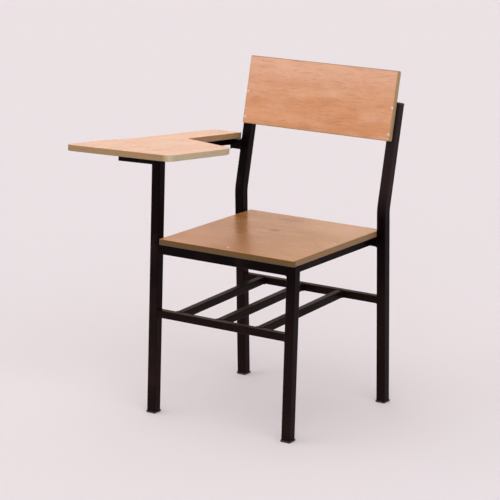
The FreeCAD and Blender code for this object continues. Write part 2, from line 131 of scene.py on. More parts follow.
def linear(red: int, green: int, blue: int) -> Rgba:
    """Turn a screen colour into a shader colour.

    Args:
        red: Red from 0 to 255.
        green: Green from 0 to 255.
        blue: Blue from 0 to 255.

    Returns:
        The colour as linear red, green, blue and an alpha of one.
    """
    parts = []
    for level in (red, green, blue):
        share = level / 255.0
        parts.append(share / 12.92 if share <= 0.04045 else ((share + 0.055) / 1.055) ** 2.4)
    return parts[0], parts[1], parts[2], 1.0


class Graph:
    """A node tree with short calls for adding and linking nodes."""

    def __init__(self, tree: bpy.types.NodeTree) -> None:
        """Keep the tree that nodes are added to."""
        self.tree = tree

    def add(self, kind: str, **settings: object) -> bpy.types.Node:
        """Add a node and set its properties.

        Args:
            kind: The node's type.
            **settings: Properties of the node, by name.

        Returns:
            The new node.
        """
        node = self.tree.nodes.new(kind)
        for name, value in settings.items():
            setattr(node, name, value)
        return node

    def put(self, value: object, target: Socket) -> None:
        """Feed an input from a socket, or set it to a constant.

        Args:
            value: The socket or the constant.
            target: The input.
        """
        if isinstance(value, Socket):
            self.tree.links.new(value, target)
        else:
            target.default_value = value

    def noise(self, vector: Socket, scale: float | Socket, detail: float) -> bpy.types.Node:
        """Add a noise texture.

        Args:
            vector: Where the texture is read.
            scale: Size of its pattern, in repeats per unit.
            detail: Octaves of finer noise.

        Returns:
            The texture's node.
        """
        node = self.add("ShaderNodeTexNoise")
        for name, value in (("Vector", vector), ("Scale", scale), ("Detail", detail)):
            self.put(value, node.inputs[name])
        return node

    def spread(self, value: Socket, source: Span, target: Span) -> Socket:
        """Map a value from one range to another, clamped.

        Args:
            value: The value to map.
            source: Two values that come in.
            target: Values that these become.

        Returns:
            The mapped value.
        """
        node = self.add("ShaderNodeMapRange", clamp=True)
        for name, level in zip(("From Min", "From Max", "To Min", "To Max"), source + target):
            node.inputs[name].default_value = level
        self.put(value, node.inputs["Value"])
        return node.outputs["Result"]

    def reckon(self, operation: str, first: Socket, second: Socket) -> Socket:
        """Work out one value from two.

        Args:
            operation: The operation's name.
            first: The first value.
            second: The second value.

        Returns:
            The result.
        """
        node = self.add("ShaderNodeMath", operation=operation)
        self.put(first, node.inputs[0])
        self.put(second, node.inputs[1])
        return node.outputs["Value"]

    def vector(self, operation: str, *values: object) -> bpy.types.Node:
        """Work with vectors.

        Args:
            operation: The operation's name.
            *values: Its inputs in order, as sockets or constants.

        Returns:
            The node, with its outputs Vector and Value.
        """
        node = self.add("ShaderNodeVectorMath", operation=operation)
        for number, value in enumerate(values):
            self.put(value, node.inputs[number])
        return node

    def mix(self, share: Socket, first: object, second: object) -> Socket:
        """Mix two colours.

        Args:
            share: How much of the second colour shows.
            first: A colour, or the socket that gives one.
            second: A colour, or the socket that gives one.

        Returns:
            The mixed colour.
        """
        node = self.add("ShaderNodeMix", data_type="RGBA")
        for number, value in ((0, share), (6, first), (7, second)):
            self.put(value, node.inputs[number])
        return node.outputs[2]


class SharedEffects:
    """Node groups that several materials use."""

    def __init__(self) -> None:
        """Build the groups once."""
        self.streaks = self._streaks()
        self.mottle = self._mottle()

    @staticmethod
    def _group(
        name: str, vectors: tuple[str, ...], values: dict[str, float], outputs: tuple[str, ...]
    ) -> tuple[Graph, dict[str, Socket], bpy.types.Node]:
        """Start a group with vector inputs, value inputs and value outputs.

        Args:
            name: Name of the group.
            vectors: Names of the vector inputs.
            values: Value inputs with their defaults.
            outputs: Names of the value outputs.

        Returns:
            The group's graph, its input sockets by name and its output node.
        """
        tree = bpy.data.node_groups.new(name, "ShaderNodeTree")
        for label in vectors:
            tree.interface.new_socket(label, in_out="INPUT", socket_type="NodeSocketVector")
        for label, value in values.items():
            socket = tree.interface.new_socket(label, in_out="INPUT", socket_type="NodeSocketFloat")
            socket.default_value = value
        for label in outputs:
            tree.interface.new_socket(label, in_out="OUTPUT", socket_type="NodeSocketFloat")
        graph = Graph(tree)
        entry = graph.add("NodeGroupInput")
        sockets = {socket.name: socket for socket in entry.outputs}
        return graph, sockets, graph.add("NodeGroupOutput")

    def _streaks(self) -> bpy.types.NodeTree:
        """Wood grain that sways a little: broad bands, fine lines and short dark pores.

        Returns:
            The node group.
        """
        # Scale and octaves of each pattern, and the range of its noise that shows
        bands = {
            "Broad": (0.35, 2.0, (0.36, 0.64)),
            "Fine": (2.2, 5.0, (0.32, 0.68)),
            "Pore": (5.0, 2.0, (0.62, 0.74)),
        }
        graph, sockets, end = self._group(
            "wood_streaks", ("Vector", "Stretch"), {"Wave": 0.012}, tuple(bands)
        )
        sway = graph.noise(sockets["Vector"], scale=11.0, detail=1.0).outputs["Color"]
        aside = graph.vector("SUBTRACT", sway, (0.5, 0.5, 0.5)).outputs["Vector"]
        waved = graph.vector("MULTIPLY_ADD", aside, sockets["Wave"], sockets["Vector"]).outputs["Vector"]
        drawn = graph.vector("MULTIPLY", waved, sockets["Stretch"]).outputs["Vector"]
        for label, (scale, detail, shown) in bands.items():
            pattern = graph.noise(drawn, scale, detail).outputs["Fac"]
            graph.put(graph.spread(pattern, shown, WHOLE), end.inputs[label])
        return graph.tree

    def _mottle(self) -> bpy.types.NodeTree:
        """Uneven finish: a soft cloud and a fine grain.

        Returns:
            The node group.
        """
        octaves = {"Cloud": 4.0, "Grain": 2.0}
        scales = {"Cloud Scale": 20.0, "Grain Scale": 900.0}
        graph, sockets, end = self._group("uneven_finish", ("Vector",), scales, tuple(octaves))
        for label, detail in octaves.items():
            pattern = graph.noise(sockets["Vector"], sockets[label + " Scale"], detail).outputs["Fac"]
            graph.put(graph.spread(pattern, (0.3, 0.7), WHOLE), end.inputs[label])
        return graph.tree


class Material:
    """A new material with its graph, its shader and a place for shared groups."""

    def __init__(self, name: str) -> None:
        """Start an empty material around one principled shader.

        Args:
            name: Name of the material.
        """
        self.data = bpy.data.materials.new(name)
        self.data.use_nodes = True
        self.data.node_tree.nodes.clear()
        self.graph = Graph(self.data.node_tree)
        self.shader = self.graph.add("ShaderNodeBsdfPrincipled")
        end = self.graph.add("ShaderNodeOutputMaterial")
        self.graph.put(self.shader.outputs["BSDF"], end.inputs["Surface"])
        self.place = self.graph.add("ShaderNodeTexCoord").outputs["Object"]

    def mapped(self, scale: Iterable[float], shift: Iterable[float] = (0.0, 0.0, 0.0)) -> Socket:
        """Object coordinates stretched along each axis, then shifted.

        Args:
            scale: Factors on X, Y and Z.
            shift: Shifts on X, Y and Z, after the stretch.

        Returns:
            The mapped coordinates.
        """
        node = self.graph.add("ShaderNodeMapping")
        node.inputs["Scale"].default_value = tuple(scale)
        node.inputs["Location"].default_value = tuple(shift)
        self.graph.put(self.place, node.inputs["Vector"])
        return node.outputs["Vector"]

    def group(self, tree: bpy.types.NodeTree, vector: Socket, **values: object) -> bpy.types.Node:
        """Place a shared group.

        Args:
            tree: The group's tree.
            vector: Coordinates for its pattern.
            **values: Its other inputs, with _ for a space.

        Returns:
            The group's node.
        """
        node = self.graph.add("ShaderNodeGroup", node_tree=tree)
        self.graph.put(vector, node.inputs["Vector"])
        for label, value in values.items():
            node.inputs[label.replace("_", " ")].default_value = value
        return node

    def mottled(self, effects: SharedEffects, scales: Span) -> tuple[Socket, Socket]:
        """Place the uneven finish.

        Args:
            effects: The shared node groups.
            scales: Repeats per metre of its cloud and of its grain.

        Returns:
            The cloud and the grain, from 0 to 1.
        """
        node = self.group(effects.mottle, self.place, Cloud_Scale=scales[0], Grain_Scale=scales[1])
        return node.outputs["Cloud"], node.outputs["Grain"]

    def bump(self, height: Socket, strength: float, distance: float) -> None:
        """Raise the surface by a height map.

        Args:
            height: The height, from 0 to 1.
            strength: How much of it shows.
            distance: Its depth in metres.
        """
        node = self.graph.add("ShaderNodeBump")
        node.inputs["Strength"].default_value = strength
        node.inputs["Distance"].default_value = distance
        self.graph.put(height, node.inputs["Height"])
        self.feed("Normal", node.outputs["Normal"])

    def feed(self, name: str, socket: Socket) -> None:
        """Link a socket to an input of the shader."""
        self.graph.put(socket, self.shader.inputs[name])

    def fix(self, **values: object) -> None:
        """Set constant inputs of the shader, with _ for a space."""
        for name, value in values.items():
            self.shader.inputs[name.replace("_", " ")].default_value = value


@dataclass(frozen=True)
class Ramp:
    """A mask that grows along one axis of the chair, from start to end."""

    axis: Axis
    start: float
    end: float
    most: float = 1.0

    def build(self, material: Material) -> Socket:
        """Add the mask to a material.

        Args:
            material: The material that uses it.

        Returns:
            The mask, from none at the start to the most at the end.
        """
        parts = material.graph.add("ShaderNodeSeparateXYZ")
        material.graph.put(material.place, parts.inputs["Vector"])
        along = parts.outputs[self.axis.name]
        return material.graph.spread(along, (self.start, self.end), (0.0, self.most))


@dataclass(frozen=True)
class Mark:
    """A spot on one face of a board, broken up by the grain: a stain, a scuff, a pale patch of painted
    light.

    The reach is half its size, most its strength, and least the share of it that the grain leaves.
    It fades between two shares of its reach, and grows from least to whole between two levels of grain.
    """

    middle: Triple
    reach: Triple
    tint: Rgba
    most: float
    least: float = 0.2
    fade: Span = (0.3, 1.0)
    levels: Span = (0.2, 0.8)

    def build(self, material: Material, grain: Socket, colour: Socket) -> Socket:
        """Lay the spot over a colour.

        Args:
            material: The material of the board.
            grain: The pattern that breaks up the spot.
            colour: The colour so far.

        Returns:
            The colour with the spot.
        """
        graph = material.graph
        shift = [-spot / size for spot, size in zip(self.middle, self.reach)]
        place = material.mapped([1 / size for size in self.reach], shift)
        away = graph.vector("LENGTH", place).outputs["Value"]
        inside = graph.spread(away, self.fade, (self.most, 0.0))
        broken = graph.spread(grain, self.levels, (self.least, 1.0))
        return graph.mix(graph.reckon("MULTIPLY", inside, broken), colour, self.tint)


@dataclass(frozen=True)
class LaminateFinish:
    """Beech-look laminate under a semi-gloss lacquer.

    Its colours are the pale and deep bands of the grain, paler blooms, fine lines and pores. Hazes
    are masks that lay the paler tone of the blooms over more of the board, on the seat as a painted
    sheen, and the lacquer may be dulled along the board. The density is in repeats per metre along
    and across the grain, and the relief is the strength and the depth of its bumps.
    """

    name: str
    grain: Grain
    pale: Rgba
    deep: Rgba
    bloom_and_sheen_tint: Rgba
    line: Rgba
    pore: Rgba
    tone_and_sheen_hazes: tuple[Ramp, ...] = ()
    marks: tuple[Mark, ...] = ()
    dulled: Ramp | None = None
    wave: float = 0.012
    most_bloom: float = 0.3
    most_line: float = 0.4
    most_pore: float = 0.5
    density: Span = (7.0, 120.0)
    cloud_scale: float = 7.0
    gloss: Span = (0.2, 0.3)
    relief: Span = (0.12, 0.0002)
    index: float = 1.5

    def build(self, effects: SharedEffects) -> bpy.types.Material:
        """Make the material.

        Args:
            effects: The shared node groups.

        Returns:
            The finished material.
        """
        material = Material(self.name)
        graph = material.graph
        stretch = self.grain.stretch(*self.density)
        wood = material.group(effects.streaks, material.place, Wave=self.wave, Stretch=stretch)
        fine = wood.outputs["Fine"]
        softer = material.mapped(level ** 0.25 for level in stretch)
        cloud = material.group(effects.mottle, softer, Cloud_Scale=self.cloud_scale).outputs["Cloud"]
        colour = graph.mix(wood.outputs["Broad"], self.deep, self.pale)
        blooms = graph.spread(cloud, (0.4, 1.0), (0.0, self.most_bloom))
        colour = graph.mix(blooms, colour, self.bloom_and_sheen_tint)
        # On the seat these hazes paint a sheen in the paler tone; on the backrest they make its top paler
        for haze in self.tone_and_sheen_hazes:
            colour = graph.mix(haze.build(material), colour, self.bloom_and_sheen_tint)
        lines = graph.spread(fine, (0.5, 1.0), (0.0, self.most_line))
        colour = graph.mix(lines, colour, self.line)
        pores = graph.spread(wood.outputs["Pore"], WHOLE, (0.0, self.most_pore))
        colour = graph.mix(pores, colour, self.pore)
        for mark in self.marks:
            colour = mark.build(material, fine, colour)
        material.feed("Base Color", colour)
        gloss = graph.spread(cloud, WHOLE, self.gloss)
        if self.dulled:
            gloss = graph.reckon("ADD", gloss, self.dulled.build(material))
        material.feed("Roughness", gloss)
        material.bump(fine, *self.relief)
        material.fix(IOR=self.index)
        return material.data


@dataclass(frozen=True)
class EdgeFinish:
    """The raw edge of a board: browner towards its face, greyer below, with a fine grain, and a paler tint
    of painted light where it faces the light.
    """

    name: str
    upper: Rgba
    lower: Rgba
    speck: Rgba
    lit_edge_tint: Rgba | None = None
    wear_and_light: Ramp | None = None
    most_speck: float = 0.5
    scales: Span = (60.0, 650.0)
    gloss: Span = (0.45, 0.65)
    relief: Span = (0.2, 0.0003)
    index: float = 1.3

    def build(self, effects: SharedEffects) -> bpy.types.Material:
        """Make the material.

        Args:
            effects: The shared node groups.

        Returns:
            The finished material.
        """
        material = Material(self.name)
        graph = material.graph
        cloud, grain = material.mottled(effects, self.scales)
        rise = graph.add("ShaderNodeAttribute", attribute_name=RISE).outputs["Fac"]
        colour = graph.mix(graph.spread(rise, (0.3, 0.7), WHOLE), self.lower, self.upper)
        # Painted light: a paler tint over the stretch of edge that faces the light
        if self.wear_and_light:
            colour = graph.mix(self.wear_and_light.build(material), colour, self.lit_edge_tint)
        specks = graph.spread(grain, (0.5, 1.0), (0.0, self.most_speck))
        material.feed("Base Color", graph.mix(specks, colour, self.speck))
        material.feed("Roughness", graph.spread(cloud, WHOLE, self.gloss))
        material.bump(grain, *self.relief)
        material.fix(IOR=self.index)
        return material.data


@dataclass(frozen=True)
class PaintFinish:
    """Brown-black paint on steel tube, dusty near the floor, scuffed, with a painted highlight on the left
    upright above its bend.
    """

    name: str = "tube_paint"
    coat: Rgba = linear(7, 2, 4)
    dust: Rgba = linear(25, 14, 13)
    # Painted highlight: the paler colour of the left upright above its bend, where its leaned face catches
    # the light
    painted_sheen: Rgba = linear(42, 29, 30)
    scuff: Rgba = linear(42, 26, 25)
    sheen: Rgba = (1.0, 0.78, 0.76, 1.0)
    floor: Ramp = Ramp(Axis.Z, 0.42, 0.25)
    left: Ramp = Ramp(Axis.X, 0.12, 0.2)
    above: Ramp = Ramp(Axis.Z, 0.48, 0.56)
    most_scuff: float = 0.7
    scales: Span = (9.0, 420.0)
    gloss: Span = (0.3, 0.46)
    relief: Span = (0.08, 0.0002)
    index: float = 1.14

    def build(self, effects: SharedEffects) -> bpy.types.Material:
        """Make the material.

        Args:
            effects: The shared node groups.

        Returns:
            The finished material.
        """
        material = Material(self.name)
        graph = material.graph
        cloud, grain = material.mottled(effects, self.scales)
        colour = graph.mix(self.floor.build(material), self.coat, self.dust)
        # Where the painted highlight lies: the left upright above its bend
        sheen_zone = graph.reckon("MULTIPLY", self.left.build(material), self.above.build(material))
        colour = graph.mix(sheen_zone, colour, self.painted_sheen)
        scuffs = graph.spread(cloud, (0.6, 1.0), (0.0, self.most_scuff))
        material.feed("Base Color", graph.mix(scuffs, colour, self.scuff))
        material.feed("Roughness", graph.spread(cloud, WHOLE, self.gloss))
        material.bump(grain, *self.relief)
        material.fix(Specular_Tint=self.sheen, IOR=self.index)
        return material.data


@dataclass(frozen=True)
class PlasticFinish:
    """Black moulded plastic with a fine spark-eroded grain."""

    name: str = "cap_plastic"
    body: Rgba = linear(22, 20, 21)
    wear_and_light: Rgba = linear(40, 37, 37)
    scales: Span = (45.0, 1400.0)
    gloss: Span = (0.48, 0.62)
    relief: Span = (0.25, 0.0002)

    def build(self, effects: SharedEffects) -> bpy.types.Material:
        """Make the material.

        Args:
            effects: The shared node groups.

        Returns:
            The finished material.
        """
        material = Material(self.name)
        graph = material.graph
        cloud, grain = material.mottled(effects, self.scales)
        material.feed("Base Color", graph.mix(cloud, self.body, self.wear_and_light))
        material.feed("Roughness", graph.spread(grain, WHOLE, self.gloss))
        material.bump(grain, *self.relief)
        return material.data


@dataclass(frozen=True)
class ScrewFinish:
    """Zinc-plated steel, slightly dulled."""

    name: str = "screw_zinc"
    bright: Rgba = linear(244, 214, 197)
    dull: Rgba = linear(216, 187, 170)
    metallic: float = 0.2
    scales: Span = (300.0, 2500.0)
    gloss: Span = (0.4, 0.55)

    def build(self, effects: SharedEffects) -> bpy.types.Material:
        """Make the material.

        Args:
            effects: The shared node groups.

        Returns:
            The finished material.
        """
        material = Material(self.name)
        graph = material.graph
        cloud, grain = material.mottled(effects, self.scales)
        material.feed("Base Color", graph.mix(cloud, self.bright, self.dull))
        material.feed("Roughness", graph.spread(grain, WHOLE, self.gloss))
        material.fix(Metallic=self.metallic)
        return material.data


@dataclass
class Finishes:
    """Every material of the chair."""

    effects: SharedEffects
    seat_laminate: bpy.types.Material = field(init=False)
    back_laminate: bpy.types.Material = field(init=False)
    tablet_laminate: bpy.types.Material = field(init=False)
    seat_edge: bpy.types.Material = field(init=False)
    back_edge: bpy.types.Material = field(init=False)
    tablet_edge: bpy.types.Material = field(init=False)
    paint: bpy.types.Material = field(init=False)
    plastic: bpy.types.Material = field(init=False)
    zinc: bpy.types.Material = field(init=False)

    def __post_init__(self) -> None:
        """Build the materials from their finishes."""
        self.seat_laminate = self._seat_face().build(self.effects)
        self.back_laminate = self._back_face().build(self.effects)
        self.tablet_laminate = self._tablet_face().build(self.effects)
        self.seat_edge = self._seat_rim().build(self.effects)
        self.back_edge = self._back_rim().build(self.effects)
        self.tablet_edge = self._tablet_rim().build(self.effects)
        self.paint = PaintFinish().build(self.effects)
        self.plastic = PlasticFinish().build(self.effects)
        self.zinc = ScrewFinish().build(self.effects)

    @staticmethod
    def _seat_face() -> LaminateFinish:
        """The seat: brown, with a painted sheen that makes it paler to the left and front, two pale patches
        of painted light, a scuff and a stain on top.

        Returns:
            The finish of its faces.
        """
        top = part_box("seat_board")[1].z
        skin = 0.01
        marks = (
            # Two large pale patches of painted light, at the right front and the left rear of the seat
            Mark((-0.13, -0.12, top), (0.19, 0.2, skin), linear(228, 174, 132), 0.8, 0.8),
            Mark((0.16, 0.21, top), (0.14, 0.09, skin), linear(226, 174, 130), 0.6, 0.8),
            Mark((0.05, 0.093, top), (0.016, 0.026, skin), linear(70, 56, 40), 0.95),
            Mark((0.024, 0.215, top), (0.042, 0.02, skin), linear(132, 66, 24), 0.95),
        )
        return LaminateFinish(
            "seat_laminate", Grain.SIDE_TO_SIDE,
            pale=linear(188, 129, 77), deep=linear(176, 115, 63), bloom_and_sheen_tint=linear(205, 151, 103),
            line=linear(158, 96, 51), pore=linear(131, 76, 41),
            # Painted sheen: the seat made paler to the left and the front, where it mirrors the bright
            # background and the backrest
            tone_and_sheen_hazes=(Ramp(Axis.X, 0.14, 0.27, 0.8), Ramp(Axis.Y, 0.2, -0.14, 0.75)),
            marks=marks, dulled=Ramp(Axis.Y, 0.2, -0.14, 0.1),
        )

    @staticmethod
    def _back_face() -> LaminateFinish:
        """The backrest: orange-brown, wavier than the seat and paler towards its top.

        Returns:
            The finish of its faces.
        """
        return LaminateFinish(
            "back_laminate", Grain.SIDE_TO_SIDE,
            pale=linear(223, 158, 113), deep=linear(211, 143, 95), bloom_and_sheen_tint=linear(235, 185, 156),
            line=linear(188, 117, 72), pore=linear(155, 91, 55),
            tone_and_sheen_hazes=(Ramp(Axis.Z, 0.75, 0.83, 0.6),), wave=0.022, most_bloom=0.5,
        )

    @staticmethod
    def _tablet_face() -> LaminateFinish:
        """The tablet: the palest board, with a faint grain along its arm.

        Returns:
            The finish of its faces.
        """
        return LaminateFinish(
            "tablet_laminate", Grain.FRONT_TO_BACK,
            pale=linear(243, 186, 145), deep=linear(237, 175, 131), bloom_and_sheen_tint=linear(247, 200, 168),
            line=linear(234, 173, 130), pore=linear(218, 160, 120),
        )

    @staticmethod
    def _seat_rim() -> EdgeFinish:
        """The seat's edge: painted shade keeps it dark at the front, and painted light makes it paler along
        the sides.

        Returns:
            The finish of the edge.
        """
        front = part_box("seat_edge_band")[0].y
        return EdgeFinish(
            "seat_edge", linear(113, 75, 34), linear(98, 81, 55), linear(84, 55, 33),
            # Painted light and shade: the sides behind the front stretch take the paler tint, the front
            # stays dark
            lit_edge_tint=linear(151, 119, 87), wear_and_light=Ramp(Axis.Y, front + 0.003, front + 0.012),
        )

    @staticmethod
    def _back_rim() -> EdgeFinish:
        """The backrest's edge: tan and grey."""
        return EdgeFinish("back_edge", linear(180, 145, 104), linear(176, 156, 122), linear(134, 106, 75))

    @staticmethod
    def _tablet_rim() -> EdgeFinish:
        """The tablet's edge: tan, with painted light making it pale at its inner end and a painted highlight
        on that corner.

        Returns:
            The finish of the edge.
        """
        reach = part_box("tablet_board")[1].x
        return EdgeFinish(
            "tablet_edge", linear(166, 129, 89), linear(163, 135, 103), linear(134, 101, 68),
            # Painted light: the inner end of the edge, which faces the light, and its corner highlight
            lit_edge_tint=linear(200, 186, 154), wear_and_light=Ramp(Axis.X, reach - 0.025, reach - 0.008),
        )


def dress(node: bpy.types.Object, material: bpy.types.Material) -> None:
    """Give a node one material.

    Args:
        node: The frame's node.
        material: The material that takes the place of its own.
    """
    node.data.materials.clear()
    node.data.materials.append(material)
    LOG.info("%s: %s", node.name, material.name)


def piece(
    name: str, mesh: bmesh.types.BMesh, materials: list[bpy.types.Material]
) -> bpy.types.Object:
    """Make an object of a finished bmesh that rides on the chair.

    Args:
        name: Name of the piece.
        mesh: Its mesh, in place; it is freed.
        materials: Its materials, in order.

    Returns:
        The new object.
    """
    data = bpy.data.meshes.new(name)
    mesh.to_mesh(data)
    mesh.free()
    for material in materials:
        data.materials.append(material)
    made = bpy.data.objects.new(name, data)
    bpy.context.scene.collection.objects.link(made)
    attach(made, "root")
    LOG.info("%s: %d faces", name, len(data.polygons))
    return made


def islands(items: Iterable[object], near: Callable[[object], Iterable[object]]) -> list[set]:
    """Sort parts of a mesh into groups that hang together.

    Args:
        items: The faces or points to sort.
        near: Gives the neighbours of one of them.

    Returns:
        The groups.
    """
    left = set(items)
    groups = []
    while left:
        group = {left.pop()}
        rim = set(group)
        while rim:
            rim = {other for item in rim for other in near(item)} & left
            group |= rim
            left -= rim
        groups.append(group)
    return groups


def add_copy(mesh: bmesh.types.BMesh, pattern: bpy.types.Mesh, place: Matrix) -> None:
    """Add a placed copy of a pattern to a mesh.

    Args:
        mesh: The mesh that grows.
        pattern: The shape that is copied.
        place: Where and how large the copy is.
    """
    copy = pattern.copy()
    copy.transform(place)
    mesh.from_mesh(copy)
    bpy.data.meshes.remove(copy)


@dataclass
class Board:
    """A laminate board and the raw edge round it, which may show as a band on the faces too."""

    label: str
    normal: Vector
    laminate: bpy.types.Material
    edge: bpy.types.Material
    banded: bool = False
    arris: float = 0.0018
    flat: float = math.radians(0.5)
    sharp: float = math.radians(35)

    def build(self, nodes: dict[str, bpy.types.Object]) -> bpy.types.Object:
        """Dress the board and replace its edge by one with broken corners.

        Args:
            nodes: The frame's nodes by name.

        Returns:
            The new edge piece.
        """
        dress(nodes[self.label + "_board"], self.laminate)
        band = self.label + "_edge_band"
        mesh = bmesh.new()
        mesh.from_mesh(nodes[band].data)
        bmesh.ops.remove_doubles(mesh, verts=mesh.verts, dist=MERGE)
        bmesh.ops.dissolve_limit(mesh, angle_limit=self.flat, verts=mesh.verts, edges=mesh.edges)
        heights = [vert.co.dot(self.normal) for vert in mesh.verts]
        self._break_corners(mesh)
        self._grade(mesh, min(heights), max(heights))
        mesh.normal_update()
        for face in mesh.faces:
            level = abs(face.normal.dot(self.normal)) > LEVEL
            face.material_index = 0 if level and not self.banded else 1
            face.smooth = True
        made = piece(self.label + "_edge", mesh, [self.laminate, self.edge])
        made.data.set_sharp_from_angle(angle=self.sharp)
        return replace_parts(made, band)

    def _break_corners(self, mesh: bmesh.types.BMesh) -> None:
        """Bevel the outer rims of the edge ring.

        Args:
            mesh: The ring, with its flat faces dissolved.
        """
        mesh.normal_update()
        sides = [face for face in mesh.faces if abs(face.normal.dot(self.normal)) < UPRIGHT]
        walls = islands(sides, lambda face: [other for edge in face.edges for other in edge.link_faces])
        outer = max(walls, key=lambda wall: sum(face.calc_area() for face in wall))
        rims = [edge for edge in mesh.edges if len(set(edge.link_faces) & outer) == 1]
        bmesh.ops.bevel(
            mesh, geom=rims, offset=self.arris, offset_type="OFFSET", segments=3, profile=0.5,
            affect="EDGES", material=-1,
        )

    def _grade(self, mesh: bmesh.types.BMesh, low: float, high: float) -> None:
        """Note on every point how far it lies between the board's lower and upper face.

        Args:
            mesh: The ring with its corners broken.
            low: Height of the lower face along the board's normal.
            high: Height of the upper face.
        """
        rise = mesh.verts.layers.float.new(RISE)
        for vert in mesh.verts:
            vert[rise] = (vert.co.dot(self.normal) - low) / (high - low)


@dataclass
class WeldBeads:
    """Rows of overlapping ripples where the tube ends are welded to their neighbours."""

    paint: bpy.types.Material
    pitch: float = 0.0024
    width: float = 0.0021
    inset: float = 0.0008
    uneven: Span = (0.85, 1.15)
    squat: float = 0.95
    rng: random.Random = field(default_factory=lambda: random.Random(11))
    ripple: bpy.types.Mesh = field(init=False)

    def __post_init__(self) -> None:
        """Make the one ripple that every bead repeats."""
        mesh = bmesh.new()
        bmesh.ops.create_uvsphere(mesh, u_segments=8, v_segments=6, radius=1.0)
        for face in mesh.faces:
            face.smooth = True
        self.ripple = bpy.data.meshes.new("weld_ripple")
        mesh.to_mesh(self.ripple)
        mesh.free()

    def build(self) -> bpy.types.Object:
        """Lay every weld of the frame.

        Returns:
            The beads as one piece.
        """
        mesh = bmesh.new()
        for name in ("seat_front_rail", "seat_rear_rail", "rack_front_rail", "rack_rear_rail"):
            self._both_ends(mesh, name, Axis.X)
        for name in ("seat_right_rail", "seat_left_rail"):
            self._both_ends(mesh, name, Axis.Y)
        for name in ("rack_bar_right", "rack_bar_middle", "rack_bar_left"):
            low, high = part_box(name)
            side = high.x - low.x
            front_top = Vector((high.x, high.y, low.z + side))
            rear_foot = Vector((low.x, low.y, high.z - side))
            self._round_end(mesh, Axis.Y, low.y, low, front_top)
            self._round_end(mesh, Axis.Y, high.y, rear_foot, high)
        self._both_ends(mesh, "tablet_rear_stub", Axis.X)
        bpy.data.meshes.remove(self.ripple)
        return piece("weld_beads", mesh, [self.paint])

    def _both_ends(self, mesh: bmesh.types.BMesh, name: str, axis: Axis) -> None:
        """Lay beads round both ends of a tube.

        Args:
            mesh: The mesh that they are added to.
            name: The tube's node.
            axis: The axis that the tube runs along.
        """
        low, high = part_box(name)
        for end in (low, high):
            self._round_end(mesh, axis, end[axis.value], low, high)

    def _round_end(
        self, mesh: bmesh.types.BMesh, axis: Axis, level: float, low: Vector, high: Vector
    ) -> None:
        """Lay beads round one end of a square tube, drawn in a little at its rounded corners.

        Args:
            mesh: The mesh that they are added to.
            axis: The axis that the tube runs along, X or Y.
            level: Where its end lies on that axis.
            low: The tube's lowest corner at that end.
            high: The tube's highest corner at that end.
        """
        other = Axis.Y if axis is Axis.X else Axis.X
        near, far = low[other.value] + self.inset, high[other.value] - self.inset
        bottom, top = low.z + self.inset, high.z - self.inset
        turns = []
        for flat, height in ((near, bottom), (far, bottom), (far, top), (near, top)):
            turn = Vector((0.0, 0.0, height))
            turn[axis.value] = level
            turn[other.value] = flat
            turns.append(turn)
        for number, turn in enumerate(turns):
            self._bead(mesh, turn, turns[(number + 1) % len(turns)])

    def _bead(self, mesh: bmesh.types.BMesh, start: Vector, end: Vector) -> None:
        """Lay one straight bead.

        Args:
            mesh: The mesh that it is added to.
            start: Where the bead begins.
            end: Where it ends.
        """
        run = end - start
        turn = Vector((1, 0, 0)).rotation_difference(run.normalized()).to_matrix().to_4x4()
        count = max(2, round(run.length / self.pitch))
        for step in range(count + 1):
            size = self.width * self.rng.uniform(*self.uneven)
            shape = Matrix.Diagonal((size * self.squat, size, size, 1.0))
            add_copy(mesh, self.ripple, Matrix.Translation(start + run * (step / count)) @ turn @ shape)


